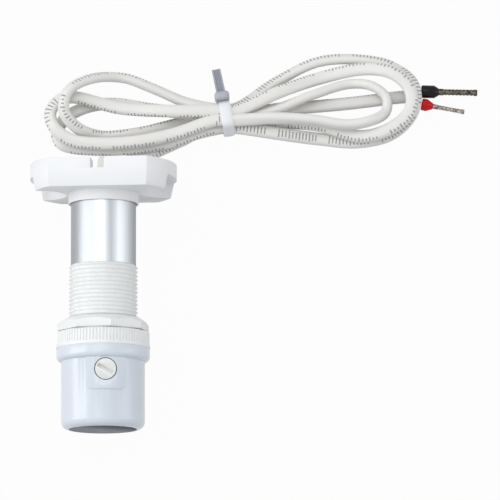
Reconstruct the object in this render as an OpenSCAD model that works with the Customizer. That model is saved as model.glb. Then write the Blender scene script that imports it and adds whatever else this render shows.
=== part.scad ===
// Twilight sensor: a round mounting base, a threaded tube with a nut, a cap with a slotted
// adjuster and a dark light window, and a tied two-core lead that ends in two ferrules.
// It lies on its side on a table: +Z is up, the base is towards +Y and the cap towards -Y.
// Sensor pieces are drawn upright first: z = 0 at the base's mounting face, z grows towards the cap.

/* [Mounting base] */
// Radius of the round base
base_r = 26.8; // [24:0.1:30]
// Distance from the axis to each of the base's two flats
base_flat = 19.8; // [19:0.1:23]
// Turn of the base about the axis, in degrees
base_turn = 5; // [-20:0.5:20]
// Height of the base along the axis
base_h = 10.5; // [9:0.1:14]
// Height of the straight part of the base's wall
base_straight_h = 5.4; // [4:0.1:7]
// Draft of the base's wall past its straight part, in degrees
base_draft = 11; // [0:1:14]
// Thickness of the base's outer wall
base_wall = 2.4; // [1.6:0.1:3]
// Thickness of the base's front plate
base_plate_t = 2.2; // [1.6:0.1:3]
// Thickness of the wall of the collar that holds the tube
collar_wall = 0.7; // [0.5:0.05:1.5]
// Length of the collar in front of the plate
collar_h = 3.8; // [2:0.1:8]
// Radius of each screw pocket
pocket_r = 10.2; // [8:0.1:11]
// Distance from the axis to the centre of a screw pocket
pocket_x = 23.9; // [23.5:0.1:25]
// Depth of a screw pocket
pocket_depth = 5.2; // [3:0.1:6]
// Thickness of a screw pocket's walls and floor
pocket_wall = 1.6; // [1:0.1:2.4]
// Radius of the circle that the two screw holes lie on
screw_circle_r = 20.5; // [19:0.1:21.5]
// Radius of a screw hole
screw_hole_r = 2.1; // [1.6:0.05:2.6]
// Outer radius of the boss round a screw hole
screw_boss_r = 4; // [3.4:0.1:4.6]
// Width of the cable notch in the rim
notch_w = 5; // [3:0.1:7]
// Depth of the cable notch from the mounting face
notch_h = 4; // [2.5:0.1:6]
// Length of the cable notch's side walls
notch_l = 8; // [5:0.1:9]
// Thickness of the cable notch's side walls
notch_wall = 1.4; // [1:0.1:2]

/* [Threaded tube] */
// Outer radius of the smooth tube
tube_r = 11.78; // [11.5:0.01:12]
// Thickness of the tube's wall
tube_wall = 1.58; // [1.2:0.01:2]
// Length of smooth tube between the collar and the thread
tube_show_l = 22.8; // [15:0.1:40]
// Outer radius of the thread
thread_r = 12.5; // [12.3:0.01:12.6]
// Depth of the thread
thread_depth = 0.9; // [0.5:0.05:1.1]
// Pitch of the thread
thread_pitch = 1.5; // [1:0.1:2]
// Length of the thread
thread_l = 24.8; // [20:0.1:40]
// Radius over the flange's ribs
flange_r = 16.85; // [16:0.05:18]
// Depth of the ribs
rib_depth = 0.4; // [0.2:0.05:0.7]
// Number of ribs
rib_count = 86; // [40:2:100]
// Length of the ribbed part of the flange
rib_l = 4.6; // [3:0.1:8]
// Radius of the flange's plain lip
lip_r = 17.1; // [16.9:0.05:18.5]
// Length of the flange's plain lip
lip_l = 1.1; // [0.6:0.1:3]
// Radius of the spigot that carries the cap
spigot_r = 13.6; // [13.2:0.05:13.65]
// Thickness of the foil label
foil_t = 0.12; // [0.08:0.01:0.2]

/* [Nut and gasket] */
// Radius over the nut's corners
nut_corner_r = 16.9; // [16:0.1:19]
// Number of the nut's sides
nut_sides = 8; // [6:2:12]
// Length of the nut along the axis
nut_l = 4.7; // [3:0.1:8]
// Radius of the nut's top face, inside its chamfer
nut_face_r = 13.5; // [13.3:0.1:14.5]
// Length of the nut's chamfer along the axis
nut_chamfer_l = 2.3; // [1:0.1:2.6]
// Turn of the nut about the axis, in degrees
nut_turn = 11.6; // [0:0.1:45]
// Outer radius of the gasket under the nut
gasket_r = 15.2; // [14.5:0.1:15.5]
// Thickness of the gasket
gasket_t = 0.6; // [0.4:0.1:1.5]

/* [Cap] */
// Radius of the cap's shoulder
shoulder_r = 17; // [16.9:0.1:18]
// Length of the shoulder
shoulder_l = 4.8; // [4:0.1:7]
// Radius of the cap's body
cap_r = 15.2; // [15:0.05:15.6]
// Overall length of the cap
cap_l = 29.4; // [28:0.1:40]
// Thickness of the cap's wall
cap_wall = 1.5; // [1.2:0.1:1.6]
// Radius of the rounding at the cap's end
cap_round = 2.7; // [1.5:0.1:2.8]
// Height of the raised panel round the adjuster
panel_rise = 0.45; // [0.2:0.05:0.8]
// Width of the raised panel
panel_w = 14.4; // [12:0.1:16]
// Length of the raised panel past the shoulder
panel_l = 11.6; // [10:0.1:14]
// Corner radius of the raised panel
panel_corner = 2; // [1:0.1:3]
// Thickness of the light window
window_t = 1.6; // [1:0.1:2]
// Turn of the tube and cap about the axis, in degrees
head_turn = 5.5; // [-20:0.5:20]

/* [Adjuster] */
// Radius of the adjuster's head
dial_r = 3.8; // [3.5:0.05:4.3]
// Gap round the adjuster's head
dial_gap = 0.3; // [0.2:0.05:0.5]
// Thickness of the adjuster's head
dial_t = 2.6; // [1.5:0.1:3]
// Width of the adjuster's slot
slot_w = 1.25; // [0.8:0.05:1.6]
// Length of the adjuster's slot
slot_l = 6.2; // [5:0.1:7]
// Depth of the adjuster's slot
slot_depth = 1.2; // [0.6:0.1:1.4]
// Turn of the slot about its own axis at rest, in degrees
slot_turn = 27.8; // [-90:0.1:90]
// Radius of the adjuster's shaft
shaft_r = 1.25; // [1:0.05:1.6]
// Distance from the cap's shoulder end to the adjuster's centre
dial_past_shoulder = 4.35; // [4:0.05:6]

/* [Electronics] */
// Gap between the circuit board's edge and the tube's bore
board_side = 1.46; // [1.2:0.02:3]
// Thickness of the boards
board_t = 1.2; // [0.8:0.1:1.6]
// Distance from the axis to the face of the circuit board that carries the parts
board_drop = 1; // [0.5:0.1:2]
// Side of the square trimmer body
trimmer_w = 6.8; // [5:0.1:8]
// Height of the trimmer body
trimmer_h = 4.8; // [4:0.1:6]
// Radius of the light detector
detector_r = 2.5; // [1.5:0.1:3]
// Height of the light detector with its dome
detector_h = 4.4; // [3:0.1:4.8]

/* [Lead] */
// Diameter of the lead's solid
lead_d = 4.2; // [4:0.1:4.4]
// Distance between strands at the tie
strand_pitch = 4.8; // [4.75:0.05:5]
// Extra height of a strand that lies over another
cross_rise = 4.9; // [4.7:0.1:5.4]
// Diameter of a single core
core_d = 1.7; // [1.2:0.1:2]
// Outer diameter of the black ferrule's plastic collar
black_collar_d = 4.8; // [4:0.1:4.8]
// Length of the black ferrule's plastic collar
black_collar_l = 6.5; // [5:0.1:6.6]
// Diameter of the black ferrule's metal pin
black_pin_d = 2.5; // [2:0.1:3]
// Length of the black ferrule's metal pin
black_pin_l = 14.4; // [8:0.1:18]
// Outer diameter of the red ferrule's plastic collar
red_collar_d = 4.5; // [3.8:0.1:4.6]
// Length of the red ferrule's plastic collar
red_collar_l = 4.4; // [4:0.1:4.5]
// Diameter of the red ferrule's metal pin
red_pin_d = 1.8; // [1.4:0.1:2.4]
// Length of the red ferrule's metal pin
red_pin_l = 11.8; // [8:0.1:18]
// Width of the cable tie
tie_w = 4.3; // [2.5:0.1:5]
// Thickness of the cable tie's strap
tie_t = 1; // [0.8:0.1:1.4]
// Length of the cable tie's free end past its head
tie_tail_l = 8.5; // [4:0.1:12]

/* [Hidden] */
$fn = 96;

// Clearances and overruns that several pieces share
over = 1;           // how far a cutter runs past the face that it cuts
slip = 0.25;        // radial gap of a loose fit, such as the tube in the collar
running = 0.05;     // radial gap of a turning or sliding fit
seat_gap = 0.1;     // gap between a board and the ribs that hold it
spigot_gap = 0.3;   // gap between the spigot's end and the adjuster

// Sizes that follow from the named ones
tube_bore_r = tube_r - tube_wall;
collar_bore_r = tube_r + foil_t + slip;
collar_r = collar_bore_r + collar_wall;
spigot_l = shoulder_l + dial_past_shoulder - dial_r - dial_gap - spigot_gap;
board_w = 2 * (sqrt(pow(tube_bore_r, 2) - pow(board_drop + board_t, 2)) - board_side);

// Stations along the axis, from the mounting face
plate_z = base_h - base_plate_t;
collar_z = base_h + collar_h;
tube_z = plate_z + foil_t;
thread_z = collar_z + tube_show_l;
flange_z = thread_z + thread_l;
cap_z = flange_z + rib_l + lip_l;
shoulder_z = cap_z + shoulder_l;
end_z = cap_z + cap_l;
dial_z = shoulder_z + dial_past_shoulder;
nut_z = flange_z - gasket_t - running - nut_l;

// A corner of the base's far flat and the cap's shoulder touch the table, so the axis leans towards the cap
rest_r = base_flat * cos(base_turn) + sqrt(pow(base_r, 2) - pow(base_flat, 2)) * sin(abs(base_turn));
shoulder_round = shoulder_r - cap_r;
shoulder_straight_z = shoulder_z - shoulder_round;
lean = atan((rest_r - shoulder_r) / (shoulder_straight_z - base_straight_h));
place_z = rest_r * cos(lean) + base_straight_h * sin(lean);
high_y = rest_r * sin(lean);
low_y = (cap_r - cap_round) * sin(lean) + (end_z - cap_round) * cos(lean) + cap_round;
place_y = (low_y - high_y) / 2;

module on_table() { translate([0, place_y, place_z]) rotate([90 + lean, 0, 0]) children(); }
module turned_base() { on_table() rotate([0, 0, base_turn]) children(); }
module turned_head() { on_table() rotate([0, 0, -head_turn]) children(); }

// Row coordinates of an upright point, for the routes and the printed places
function placed(p) = [p[0],
    place_y - p[1] * sin(lean) - p[2] * cos(lean),
    place_z + p[1] * cos(lean) - p[2] * sin(lean)];

// A ring from one radius to another
module ring(r_out, r_in, z_low, z_high) {
    translate([0, 0, z_low]) difference() {
        cylinder(r = r_out, h = z_high - z_low);
        translate([0, 0, -over]) cylinder(r = r_in, h = z_high - z_low + 2 * over);
    }
}

// Mounting base
taper_in = (base_h - base_straight_h) * tan(base_draft);
latch_w = 1.8;          // width of a latch slot in the collar's bore
latch_cut = 0.35;       // depth of a latch slot into the collar's wall
latch_l = 2.4;          // length of a latch slot along the axis
latch_at = [-48, 38, 132, 218];
pocket_floor_z = base_h - pocket_depth;

module base_outline(z_low, z_high, inset) {
    intersection() {
        translate([0, 0, z_low]) cylinder(r = base_r - inset, h = z_high - z_low);
        translate([-base_r - over, -base_flat + inset, z_low])
            cube([2 * (base_r + over), 2 * (base_flat - inset), z_high - z_low]);
    }
}

module base_body() {
    difference() {
        rotate_extrude() polygon([[0, 0], [base_r, 0], [base_r, base_straight_h],
            [base_r - taper_in, base_h], [0, base_h]]);
        for (side = [0, 180]) rotate([0, 0, side]) {
            translate([-base_r - over, base_flat, -over])
                cube([2 * (base_r + over), base_r, base_h + 2 * over]);
            translate([-base_r - over, base_flat, base_straight_h]) rotate([base_draft, 0, 0])
                cube([2 * (base_r + over), base_r, base_h]);
        }
    }
}

module pocket(extra) { cylinder(r = pocket_r + extra, h = base_h); }

module notch_block(extra, length, height) {
    translate([-notch_w / 2 - extra, base_flat - length, -over])
        cube([notch_w + 2 * extra, length + over, height + over]);
}

module mounting_base() {
    color("white") turned_base() difference() {
        union() {
            difference() {
                base_body();
                difference() {
                    base_outline(-over, plate_z, base_wall);
                    for (side = [-1, 1]) {
                        translate([side * pocket_x, 0, pocket_floor_z - pocket_wall]) pocket(pocket_wall);
                        translate([side * screw_circle_r, 0, 0]) cylinder(r = screw_boss_r, h = base_h);
                    }
                    intersection() {
                        notch_block(notch_wall, notch_l, plate_z);
                        base_outline(0, plate_z, 0);
                    }
                }
            }
            translate([0, 0, plate_z]) cylinder(r = collar_r, h = collar_z - plate_z);
        }
        translate([0, 0, -over]) cylinder(r = collar_bore_r, h = collar_z + 2 * over);
        notch_block(0, notch_l + over, notch_h);
        for (side = [-1, 1]) {
            translate([side * screw_circle_r, 0, -over]) cylinder(r = screw_hole_r, h = base_h);
            difference() {
                translate([side * pocket_x, 0, pocket_floor_z]) pocket(0);
                cylinder(r = collar_r, h = base_h + over);
            }
        }
        for (a = latch_at) rotate([0, 0, a])
            translate([-latch_w / 2, 0, collar_z - latch_l])
                cube([latch_w, collar_bore_r + latch_cut, latch_l + over]);
    }
}

// Threaded tube with its ribbed flange and the spigot for the cap
thread_flat = thread_pitch / 8;
thread_flank = thread_pitch / 2 - thread_flat;
thread_turns = floor(thread_l / thread_pitch);
seal_d = 1.25;          // section of the cap seal
seal_z = cap_z + spigot_l / 2;
cap_bore_r = cap_r - cap_wall;
seal_ring_r = cap_bore_r - seal_d / 2 - running;
seal_groove_r = seal_ring_r - seal_d / 2 - running;
seal_groove_l = seal_d + 2 * seat_gap;
rail_w = 1.1;           // thickness of a rail that holds the board
rail_reach = 1.3;       // how far a rail overlaps the board's edge
rail_from = 8;          // distance from the tube's rear end to the rails
rail_z = tube_z + rail_from;
rail_l = flange_z - rail_z;

function thread_profile() = [for (i = [0 : thread_turns - 1], corner = [0 : 3])
    let (z = thread_z + thread_flat / 2 + thread_flank + i * thread_pitch)
    corner == 0 ? [thread_r - thread_depth, z - thread_flank] :
    corner == 1 ? [thread_r, z] :
    corner == 2 ? [thread_r, z + thread_flat] :
    [thread_r - thread_depth, z + thread_flat + thread_flank]];

module ribs() {
    step = 360 / rib_count;
    root_r = flange_r - rib_depth;
    edge_shares = [[0, 0], [0.3, 0], [0.45, 1], [0.85, 1]];
    translate([0, 0, flange_z]) linear_extrude(height = rib_l)
        polygon([for (i = [0 : rib_count - 1], s = edge_shares)
            let (a = (i + s[0]) * step, r = root_r + s[1] * rib_depth) [r * cos(a), r * sin(a)]]);
}

module body_tube() {
    color("white") turned_head() {
        difference() {
            union() {
                rotate_extrude() polygon(concat(
                    [[0, tube_z], [tube_r, tube_z], [tube_r, thread_z], [thread_r - thread_depth, thread_z]],
                    thread_profile(),
                    [[thread_r - thread_depth, flange_z], [flange_r - rib_depth, flange_z],
                     [flange_r - rib_depth, cap_z - lip_l], [lip_r, cap_z - lip_l], [lip_r, cap_z],
                     [spigot_r, cap_z], [spigot_r, seal_z - seal_groove_l / 2],
                     [seal_groove_r, seal_z - seal_groove_l / 2], [seal_groove_r, seal_z + seal_groove_l / 2],
                     [spigot_r, seal_z + seal_groove_l / 2], [spigot_r, cap_z + spigot_l],
                     [0, cap_z + spigot_l]]));
                ribs();
            }
            translate([0, 0, tube_z - over]) cylinder(r = tube_bore_r, h = end_z);
        }
        // Rails that hold the circuit board's edges
        for (side = [-1, 1], face = [0, 1]) intersection() {
            translate([0, 0, rail_z]) cylinder(r = tube_bore_r + foil_t, h = rail_l);
            translate([side > 0 ? board_w / 2 - rail_reach : -board_w / 2 + rail_reach - tube_bore_r,
                face > 0 ? -board_drop + seat_gap : -board_drop - board_t - seat_gap - rail_w, rail_z])
                cube([tube_bore_r, rail_w, rail_l]);
        }
    }
}

module foil_label() {
    color("silver") turned_head() ring(tube_r + foil_t, tube_r, tube_z + foil_t, thread_z - foil_t);
}

// Nut and its gasket
nut_bore_r = thread_r + running;

module nut_gasket() {
    color("gainsboro") on_table() ring(gasket_r, nut_bore_r, flange_z - gasket_t, flange_z);
}

module lock_nut() {
    color("white") on_table() difference() {
        intersection() {
            translate([0, 0, nut_z]) rotate([0, 0, 90 - nut_turn])
                linear_extrude(height = nut_l) circle(r = nut_corner_r, $fn = nut_sides);
            rotate_extrude() polygon([[0, nut_z], [nut_face_r, nut_z], [nut_corner_r, nut_z + nut_chamfer_l],
                [nut_corner_r, nut_z + nut_l], [0, nut_z + nut_l]]);
        }
        translate([0, 0, nut_z - over]) cylinder(r = nut_bore_r, h = nut_l + 2 * over);
    }
}

// Cap, its seal and its window
end_open_r = cap_r - cap_round - foil_t;
window_r = end_open_r - running;
window_z = end_z - window_t;
ledge_t = 1.2;          // thickness of the ledge behind the window
ledge_w = 1;            // width of that ledge
ledge_r = end_open_r - ledge_w;
recess_w = 0.7;         // width of the shallow ring round the adjuster
recess_depth = 0.2;     // depth of that ring
arc_steps = 8;

function arc(cx, cz, r, from, to) = [for (i = [0 : arc_steps])
    let (a = from + (to - from) * i / arc_steps) [cx + r * cos(a), cz + r * sin(a)]];

module panel() {
    intersection() {
        cylinder(r = cap_r + panel_rise, h = end_z);
        translate([0, 0, shoulder_z]) rotate([-90, 0, 0]) linear_extrude(height = cap_r + over)
            union() {
                translate([-panel_w / 2, -panel_l + panel_corner])
                    square([panel_w, panel_l + shoulder_round]);
                translate([-panel_w / 2 + panel_corner, -panel_l])
                    square([panel_w - 2 * panel_corner, panel_corner]);
                for (side = [-1, 1])
                    translate([side * (panel_w / 2 - panel_corner), -panel_l + panel_corner])
                        circle(r = panel_corner);
            }
    }
}

module radial(z) { translate([0, 0, z]) rotate([-90, 0, 0]) children(); }

module sensor_cap() {
    color("aliceblue") turned_head() difference() {
        union() {
            rotate_extrude() polygon(concat([[0, cap_z], [shoulder_r, cap_z]],
                arc(cap_r, shoulder_straight_z, shoulder_round, 0, 90),
                arc(cap_r - cap_round, end_z - cap_round, cap_round, 0, 90), [[0, end_z]]));
            panel();
        }
        translate([0, 0, cap_z - over]) cylinder(r = cap_bore_r, h = window_z - ledge_t - cap_z + over);
        cylinder(r = ledge_r, h = end_z);
        translate([0, 0, window_z]) cylinder(r = end_open_r, h = window_t + over);
        radial(dial_z) cylinder(r = dial_r + dial_gap, h = cap_r + over);
        radial(dial_z) ring(dial_r + dial_gap + recess_w, dial_r, cap_r + panel_rise - recess_depth,
            cap_r + panel_rise + over);
    }
}

module cap_seal() {
    color("dimgray") turned_head() translate([0, 0, seal_z]) rotate_extrude()
        translate([seal_ring_r, 0]) circle(d = seal_d, $fn = 24);
}

module light_window() {
    color("darkslategray") turned_head() translate([0, 0, window_z]) cylinder(r = window_r, h = window_t);
}

// Adjuster and the trimmer that it turns
dial_sunk = 0.1;        // depth of the adjuster's face below the panel
dial_top = cap_r + panel_rise - dial_sunk;
trimmer_top = trimmer_h - board_drop;
shaft_low = trimmer_top - trimmer_h / 2;

module adjuster_dial() {
    color("whitesmoke") turned_head() radial(dial_z) difference() {
        union() {
            translate([0, 0, dial_top - dial_t]) cylinder(r = dial_r, h = dial_t);
            translate([0, 0, shaft_low]) cylinder(r = shaft_r, h = dial_top - dial_t - shaft_low);
        }
        translate([0, 0, dial_top - slot_depth]) rotate([0, 0, -slot_turn])
            translate([-slot_l / 2, -slot_w / 2, 0]) cube([slot_l, slot_w, slot_depth + over]);
    }
}

module trimmer_body() {
    color("royalblue") turned_head() radial(dial_z) difference() {
        translate([-trimmer_w / 2, -trimmer_w / 2, -board_drop]) cube([trimmer_w, trimmer_w, trimmer_h]);
        translate([0, 0, shaft_low - running]) cylinder(r = shaft_r + running, h = trimmer_h);
    }
}

// Boards and the parts on them
detector_board_z = window_z - ledge_t - detector_h - board_t;
detector_board_r = cap_bore_r - 3 * seat_gap;
board_from = 6;         // distance from the tube's rear end to the circuit board
board_z = tube_z + board_from;
board_l = detector_board_z - board_z;
chip = [5, 4, 1.6];
chip_z = board_z + board_l * 0.5;
regulator = [6.5, 6, 2.3];
regulator_z = board_z + board_l * 0.2;
capacitor_r = 2.6;
capacitor_h = 5.4;
capacitor_z = [board_z + board_l * 0.32, board_z + board_l * 0.64];
resistor = [3.2, 1.6, 0.7];
resistor_z = [for (i = [0 : 3]) chip_z + chip[0] + i * 2 * resistor[1] + capacitor_r];

module on_board(x, z) { translate([x, -board_drop, z]) rotate([-90, 0, 0]) children(); }

module circuit_board() {
    color("seagreen") turned_head() translate([-board_w / 2, -board_drop - board_t, board_z])
        cube([board_w, board_t, board_l]);
}

module detector_board() {
    color("seagreen") turned_head() translate([0, 0, detector_board_z])
        cylinder(r = detector_board_r, h = board_t);
}

module light_detector() {
    color("lightcyan") turned_head() translate([0, 0, detector_board_z + board_t]) rotate_extrude()
        polygon(concat([[0, 0], [detector_r, 0]],
            arc(0, detector_h - detector_r - seat_gap, detector_r, 0, 90)));
}

module block(size) { translate([-size[0] / 2, -size[1] / 2, 0]) cube(size); }

module control_chip() {
    leg_w = 0.4;
    leg_l = 1;
    color("black") turned_head() on_board(0, chip_z) {
        block(chip);
        for (i = [-1.5 : 1 : 1.5], side = [-1, 1])
            translate([i * chip[0] / 4, side * (chip[1] + leg_l) / 2, 0]) block([leg_w, leg_l, leg_w]);
    }
}

module voltage_regulator() {
    color("black") turned_head() on_board(0, regulator_z) block(regulator);
}

module capacitors() {
    color("navy") turned_head() for (z = capacitor_z)
        on_board(board_w / 4, z) cylinder(r = capacitor_r, h = capacitor_h);
}

module resistors() {
    color("dimgray") turned_head() for (z = resistor_z)
        on_board(-board_w / 4, z) block(resistor);
}

// Rear closure and the grommet that the lead leaves through
plug_t = 3;             // thickness of the rear plug
plug_z = tube_z + foil_t;
grommet_wall = 1.1;
grommet_r = lead_d / 2 + grommet_wall;
grommet_lip_t = 0.9;
grommet_lip_r = grommet_r + grommet_lip_t;

module rear_plug() {
    color("white") turned_head() ring(tube_bore_r - running, grommet_r + running, plug_z, plug_z + plug_t);
}

module lead_grommet() {
    color("dimgray") turned_head() difference() {
        union() {
            translate([0, 0, plug_z]) cylinder(r = grommet_r, h = plug_t + foil_t);
            translate([0, 0, plug_z - grommet_lip_t]) cylinder(r = grommet_lip_r, h = grommet_lip_t);
        }
        translate([0, 0, plug_z - over - grommet_lip_t])
            cylinder(r = lead_d / 2 + running, h = plug_t + 2 * over + grommet_lip_t);
    }
}

// Tubes swept along a route: each ring is square to the route and is turned as little as possible
function unit(v) = v / norm(v);
function heading(route, i) = unit(route[min(i + 1, len(route) - 1)] - route[max(i - 1, 0)]);
function upright(up, along) = unit(up - (up * along) * along);
function normals(route, up) = [for (i = 0, n = upright(up, heading(route, 0)); i < len(route);
    i = i + 1, n = i < len(route) ? upright(n, heading(route, i)) : n) n];

module swept(route, d, sides, up = [0, 0, 1]) {
    ups = normals(route, up);
    points = [for (i = [0 : len(route) - 1], k = [0 : sides - 1])
        let (along = heading(route, i), across = cross(along, ups[i]), a = 360 * (k + 0.5) / sides)
        route[i] + d / 2 * (cos(a) * across + sin(a) * ups[i])];
    last = len(route) - 1;
    sides_faces = [for (i = [0 : last - 1], k = [0 : sides - 1], half = [0, 1])
        let (a = i * sides + k, b = i * sides + (k + 1) % sides)
        half == 0 ? [a, b, b + sides] : [a, b + sides, a + sides]];
    cap_faces = concat([for (k = [1 : sides - 2]) [0, k + 1, k]],
        [for (k = [1 : sides - 2]) [last * sides, last * sides + k, last * sides + k + 1]]);
    polyhedron(points = points, faces = concat(sides_faces, cap_faces), convexity = 10);
}

function smooth_route(p, steps) = concat([for (i = [0 : len(p) - 2], s = [0 : steps - 1])
    let (t = s / steps, a = p[max(i - 1, 0)], b = p[i], c = p[i + 1], d = p[min(i + 2, len(p) - 1)])
    0.5 * ((2 * b) + (c - a) * t + (2 * a - 5 * b + 4 * c - d) * t * t
        + (3 * b - a - 3 * c + d) * t * t * t)], [p[len(p) - 1]]);

function route_length(p, i = 0) = i >= len(p) - 1 ? 0 : norm(p[i + 1] - p[i]) + route_length(p, i + 1);

// The hank: three loops to the right of the tie and three to its left, in one unbroken tube.
// The tie holds seven strands in rows of two, three and two.
tie_x = 44.5;
tie_y = 70.1;
tie_half = 3.6;         // the strands run straight for this far each side of the tie's middle
ground_z = 2.3;         // height of the lead's centre on the table
waist_z = 3.6;          // height of the lowest strands at the tie
row_rise = strand_pitch * sin(60);
low_far = [strand_pitch / 2, waist_z];
low_near = [-strand_pitch / 2, waist_z];
mid_far = [strand_pitch, waist_z + row_rise];
mid = [0, waist_z + row_rise];
mid_near = [-strand_pitch, waist_z + row_rise];
top_far = [strand_pitch / 2, waist_z + 2 * row_rise];
top_near = [-strand_pitch / 2, waist_z + 2 * row_rise];

// Each loop: side, slot in, slot out, where the run in ends, where the run out starts, reach past them,
// sway of each run, and humps as [place along the loop, half width, ramp, levels]
loops = [
    [1, low_near, top_far, [95.1, 63.1], [96, 89], 18.4, 4.6, -0.3,
        [[1.5, 0.3, 0.25, 1.75], [1.5, 0.72, 0.25, 1.04], [2.84, 0.12, 0.24, 1.9]]],
    [-1, top_far, top_near, [-12.6, 78.4], [-3.6, 60.2], 12.1, -3.8, -1.4,
        [[0.26, 0.22, 0.3, 2.2], [1.3, 0.9, 0.3, 1.1], [2.6, 0.5, 0.3, 2.05]]],
    [1, top_near, mid, [89.9, 66.4], [91, 83.8], 14.5, 2.1, -3.3,
        [[0.58, 0.58, 0.3, 1.98], [1.2, 0.6, 0.35, 1.04], [2.65, 0.33, 0.25, 1.04]]],
    [-1, mid, mid_near, [1.8, 77.1], [-12.5, 60.4], 11.9, -0.9, -2.5,
        [[0.14, 0.19, 0.22, 1.13], [2.74, 0.32, 0.2, 1]]],
    [1, mid_near, mid_far, [93.5, 62.1], [94.9, 93.7], 21.3, 0.9, 2.5,
        [[0.12, 0.12, 0.25, 1.1], [1.5, 0.1, 0.17, 0.85]]],
    [-1, mid_far, low_far, [5.8, 87], [-1.2, 64.3], 17.7, -2.6, 0.1,
        [[1.42, 0.12, 0.25, 2.13], [1.7, 0.1, 0.2, 1.05]]]];
run_steps = 3;
tip_steps = 5;
lobe_end = 3;           // a loop's places run from 0 at the tie over 1 and 2, the tip's ends, to here
fall_share = 0.42;      // share of a run over which a strand comes down from its place at the tie
leave_soft = 0.1;       // how slowly a strand turns away from the tie

function ease(t) = t * t * (3 - 2 * t);
function clamped(t) = max(0, min(1, t));
function leaves(t) = sin(90 * t * t * (1 + leave_soft) / (t + leave_soft));
function hump(w, h) = h[3] * ease(clamped((h[1] + h[2] - abs(w - h[0])) / h[2]));
function loop_height(l, w) =
    let (slot_z = w < lobe_end / 2 ? l[1][1] : l[2][1], run = min(w, lobe_end - w))
    ground_z + max((slot_z - ground_z) * ease(clamped(1 - run / fall_share)),
        max([for (h = l[8]) cross_rise * hump(w, h)]));
function loop_plan(l, w) =
    let (side = l[0], start_x = tie_x + side * tie_half)
    w < 1 ? let (t = w)
        [start_x + (l[3][0] - start_x) * t,
         tie_y + l[1][0] + (l[3][1] - tie_y - l[1][0]) * leaves(t) + l[6] * sin(180 * t)] :
    w < 2 ? let (u = w - 1)
        [l[3][0] + (l[4][0] - l[3][0]) * u + side * l[5] * sin(180 * u),
         l[3][1] + (l[4][1] - l[3][1]) * (1 - cos(180 * u)) / 2] :
    let (t = lobe_end - w)
        [start_x + (l[4][0] - start_x) * t,
         tie_y + l[2][0] + (l[4][1] - tie_y - l[2][0]) * leaves(t) + l[7] * sin(180 * t)];
function loop_point(l, w) = [each loop_plan(l, w), loop_height(l, w)];
loop_places = concat([for (i = [0 : run_steps - 1]) i / run_steps],
    [for (i = [0 : tip_steps]) 1 + i / tip_steps],
    [for (i = [1 : run_steps]) 2 + i / run_steps]);
hank_stub = 12;         // length of each end of the hank past the tie's straight stretch
heading_in = unit([1, 0.4, 0]);
heading_out = unit([1, 0.12, 0]);
hank_start = [tie_x - tie_half - hank_stub, 63.1, ground_z];
hank_end = [tie_x + tie_half + hank_stub, 74.4, ground_z];
hank_route = concat(
    [hank_start, hank_start + lead_d * heading_in, [tie_x - tie_half, tie_y + low_near[0], waist_z]],
    [for (l = loops, w = loop_places) loop_point(l, w)],
    [[tie_x + tie_half, tie_y + low_far[0], waist_z], hank_end - lead_d * heading_out, hank_end]);

// Least gap of the hank to itself, on points three to a chord, away from the neighbours along the tube
function finer(p, n) = concat([for (i = [0 : len(p) - 2], s = [0 : n - 1])
    p[i] + (p[i + 1] - p[i]) * s / n], [p[len(p) - 1]]);
gap_points = finer(hank_route, 4);
skip_near = 12;
function least_gap(p) = min([for (i = [0 : len(p) - 1 - skip_near], j = [i + skip_near : len(p) - 1])
    norm(p[i] - p[j])]) - lead_d;

module lead_hank() { color("white") swept(hank_route, lead_d, 6); }

// The lead's free stretches, from the grommet to the hank and from the hank to the cores
grommet_mouth = placed([0, 0, plug_z + plug_t]);
grommet_lip = placed([0, 0, plug_z - grommet_lip_t]);
entry_points = [[0, 43.6, 21.2], [0, 47.4, 20.6], [0, 50.4, 18.4], [0, 52, 15], [0, 52.3, 11],
    [1.2, 52.4, 7.8], [4.2, 53.1, 5.6], [8.6, 54.6, 3.8], [14, 56.6, 2.5], [20, 59.2, 2.3]];
entry_route = concat([grommet_mouth], smooth_route(concat([grommet_lip], entry_points,
    [hank_start - lead_d * heading_in]), 3), [hank_start]);
tail_points = [[72, 75.4, 2.3], [80, 76, 2.3], [90, 76.9, 2.3], [100, 78.1, 2.3], [106, 78.9, 2.3],
    [110, 79.3, 2.3], [112.6, 79.5, 2.3]];
tail_route = concat([hank_end], smooth_route(concat([hank_end + lead_d * heading_out], tail_points), 2));
tail_end = tail_points[len(tail_points) - 1];

module lead_entry() { color("white") swept(entry_route, lead_d, 8, [1, 0, 0]); }
module lead_tail() { color("white") swept(tail_route, lead_d, 8); }

// Cores inside the tube, from the lead's end to the circuit board
core_gap = 0.15;        // gap between a core and what it runs up to

module core_inner(side) {
    swept(smooth_route([placed([side * core_d * 0.6, 0, plug_z + plug_t + core_gap]),
        placed([side * core_d * 0.6, 0, plug_z + plug_t + core_gap + core_d]),
        placed([side * core_d, core_d * 0.4, board_z + core_d]),
        placed([side * 2 * core_d, -board_drop + core_d * 0.6, board_z + 3 * core_d])], 4), core_d, 8);
}

module black_core_inner() { color("black") core_inner(-1); }
module red_core_inner() { color("red") core_inner(1); }

// Cores past the lead's end, and their ferrules
black_collar_end = [124, 81.1, black_collar_d / 2];
red_collar_end = [121.9, 75.6, red_collar_d / 2];
black_slope = -1.5;
red_slope = -11;
black_taper_l = 1.7;    // length of the taper between collar and pin
red_taper_l = 2.4;
collar_edge = 0.3;      // bevel round the end of a collar that the core goes in at
core_end_gap = 0.3;     // gap between a core's two ends and the lead and collar that they meet

function heading_of(a) = [cos(a), sin(a), 0];
black_in = black_collar_end - black_collar_l * heading_of(black_slope);
red_in = red_collar_end - red_collar_l * heading_of(red_slope);

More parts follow.
